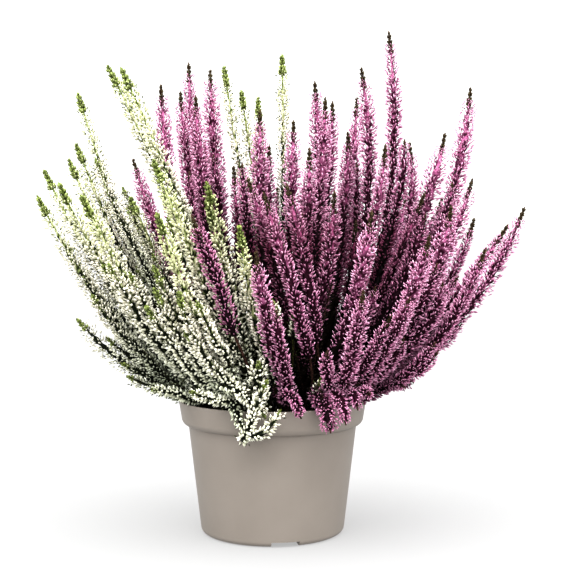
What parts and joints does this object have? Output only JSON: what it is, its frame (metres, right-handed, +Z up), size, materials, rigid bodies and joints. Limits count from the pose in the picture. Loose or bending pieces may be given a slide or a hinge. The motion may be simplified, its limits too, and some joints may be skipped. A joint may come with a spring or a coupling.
{
  "type": "potted heather",
  "caption": "Bushy heather with white and magenta-pink flower spikes, planted together in one plain plastic nursery pot.",
  "frame": {"origin": "middle of the pot's flat base, on the surface that it stands on", "axes": "+Z up along the pot's axis, -Y towards the front of the planting, with the white plant at -X and the pink plant at +X"},
  "size_m": [0.3452, 0.2351, 0.359],
  "materials": {
    "pot_plastic": "satin",
    "peat": "matte",
    "white_floret": "matte",
    "pink_floret": "matte"
  },
  "bodies": {
    "root": {"pot": "pot_plastic", "soil": "peat", "white_spray_01": "white_floret", "white_spray_02": "white_floret", "white_spray_03": "white_floret", "white_spray_04": "white_floret", "white_spray_05": "white_floret", "white_spray_06": "white_floret", "white_spray_07": "white_floret", "white_spray_08": "white_floret", "white_spray_09": "white_floret", "white_spray_10": "white_floret", "white_spray_11": "white_floret", "white_spray_12": "white_floret", "white_spray_13": "white_floret", "white_spray_14": "white_floret", "white_spray_15": "white_floret", "white_spray_16": "white_floret", "white_spray_17": "white_floret", "white_spray_18": "white_floret", "white_spray_19": "white_floret", "white_spray_20": "white_floret", "white_spray_21": "white_floret", "white_spray_22": "white_floret", "pink_spray_01": "pink_floret", "pink_spray_02": "pink_floret", "pink_spray_03": "pink_floret", "pink_spray_04": "pink_floret", "pink_spray_05": "pink_floret", "pink_spray_06": "pink_floret", "pink_spray_07": "pink_floret", "pink_spray_08": "pink_floret", "pink_spray_09": "pink_floret", "pink_spray_10": "pink_floret", "pink_spray_11": "pink_floret", "pink_spray_12": "pink_floret", "pink_spray_13": "pink_floret", "pink_spray_14": "pink_floret", "pink_spray_15": "pink_floret", "pink_spray_16": "pink_floret", "pink_spray_17": "pink_floret", "pink_spray_18": "pink_floret", "pink_spray_19": "pink_floret", "pink_spray_20": "pink_floret", "pink_spray_21": "pink_floret", "pink_spray_22": "pink_floret", "pink_spray_23": "pink_floret", "pink_spray_24": "pink_floret", "pink_spray_25": "pink_floret", "pink_spray_26": "pink_floret", "pink_spray_27": "pink_floret", "pink_spray_28": "pink_floret", "pink_spray_29": "pink_floret", "pink_spray_30": "pink_floret", "pink_spray_31": "pink_floret", "pink_spray_32": "pink_floret", "pink_spray_33": "pink_floret", "pink_spray_34": "pink_floret", "pink_spray_35": "pink_floret", "pink_spray_36": "pink_floret"}
  },
  "joints": []
}
